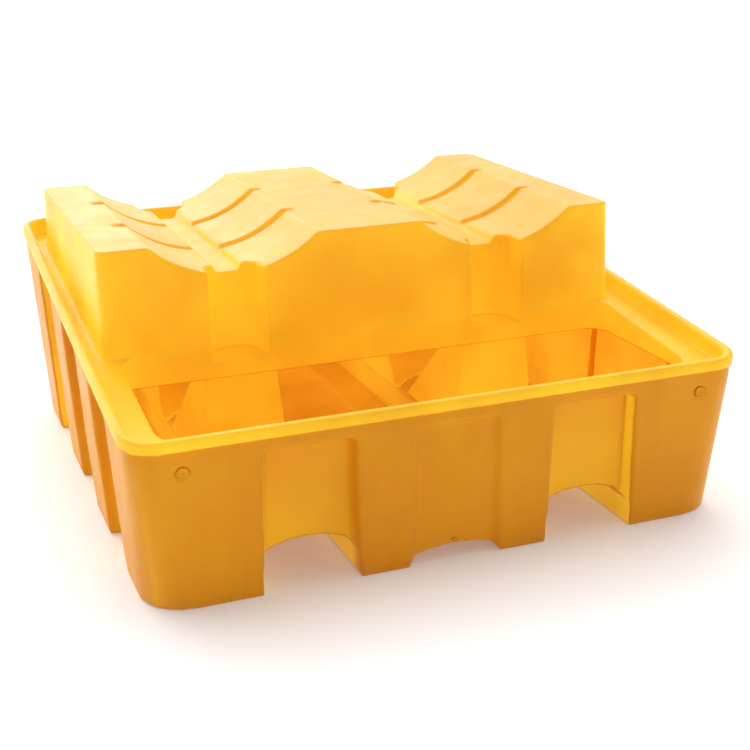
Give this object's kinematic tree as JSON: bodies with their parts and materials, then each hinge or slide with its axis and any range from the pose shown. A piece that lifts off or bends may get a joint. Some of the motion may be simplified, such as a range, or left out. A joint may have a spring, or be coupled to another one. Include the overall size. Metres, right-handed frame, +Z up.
{
  "type": "spill containment pallet",
  "caption": "Moulded plastic bund with fork pockets; a lift-off deck carries drums lying on their sides in a raised cradle and drains through a front opening into the sump.",
  "frame": {"origin": "centre of the whole object's footprint, on the ground under the feet", "axes": "+X to the right seen from the dispensing end, +Y from the dispensing end to the back, +Z up"},
  "size_m": [1.43, 1.5, 0.65],
  "materials": {
    "yellow_moulding": "satin rotationally moulded polyethylene",
    "yellow_fitting": "satin moulded polyethylene"
  },
  "bodies": {
    "tub": {"sump_tub": "yellow_moulding", "prop_front_left": "yellow_fitting", "prop_front_right": "yellow_fitting", "prop_rear_left": "yellow_fitting", "prop_rear_right": "yellow_fitting", "insert_front_left": "yellow_fitting", "insert_front_right": "yellow_fitting", "insert_rear_left": "yellow_fitting", "insert_rear_right": "yellow_fitting", "vent_plug": "yellow_fitting"},
    "deck": {"cradle_deck": "yellow_moulding"}
  },
  "joints": [
    {"name": "deck_lift", "type": "slide", "parent": "tub", "child": "deck", "axis": [0, 0, 1], "range_m": [0, 0.3]}
  ]
}
